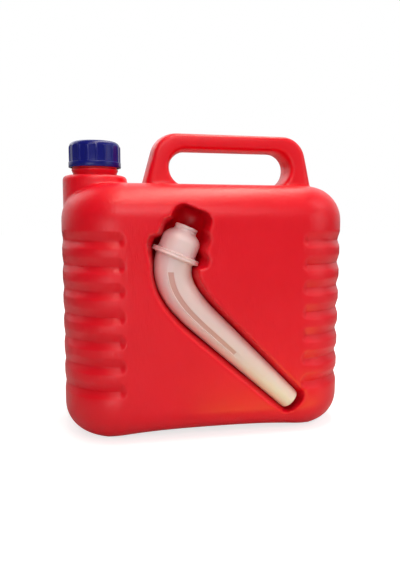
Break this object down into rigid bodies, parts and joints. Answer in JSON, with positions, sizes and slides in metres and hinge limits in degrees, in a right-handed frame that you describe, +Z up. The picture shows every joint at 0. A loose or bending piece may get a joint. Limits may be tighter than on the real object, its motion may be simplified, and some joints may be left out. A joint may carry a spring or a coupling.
{
  "type": "plastic jerrycan",
  "caption": "Blow-moulded plastic jerrycan with a hollow handle, grooved ends, a ribbed screw cap and a bent pouring spout stored in a recess in its front face.",
  "frame": {"origin": "middle of the base, on the surface that the can stands on", "axes": "+Z up, the front face with the spout looks along -Y, and +X points right seen from the front, away from the neck"},
  "size_m": [0.25, 0.115, 0.2605],
  "materials": {
    "red_plastic": "satin blow-moulded polyethylene with a fine upright grain",
    "blue_plastic": "moulded, half gloss",
    "liner_foam": "pressed foam, matt",
    "milky_plastic": "translucent natural polyethylene, satin"
  },
  "bodies": {
    "can": {"body": "red_plastic"},
    "seal": {"cap_liner": "liner_foam"},
    "screw_cap": {"cap": "blue_plastic"},
    "pouring_spout": {"spout": "milky_plastic"}
  },
  "joints": [
    {"name": "cap_lift", "type": "slide", "parent": "can", "child": "seal", "axis": [0, 0, 1], "range_m": [0, 0.02]},
    {"name": "cap_turn", "type": "hinge", "parent": "seal", "child": "screw_cap", "pos_m": [-0.096, 0, 0.24], "axis": [0, 0, 1], "range_deg": [0, 1440]},
    {"name": "spout_pull", "type": "slide", "parent": "can", "child": "pouring_spout", "axis": [0, -1, 0], "range_m": [0, 0.045]}
  ],
  "couplings": [
    {"joint": "cap_lift", "follows": "cap_turn", "m_per_rad": 0.0007957}
  ]
}
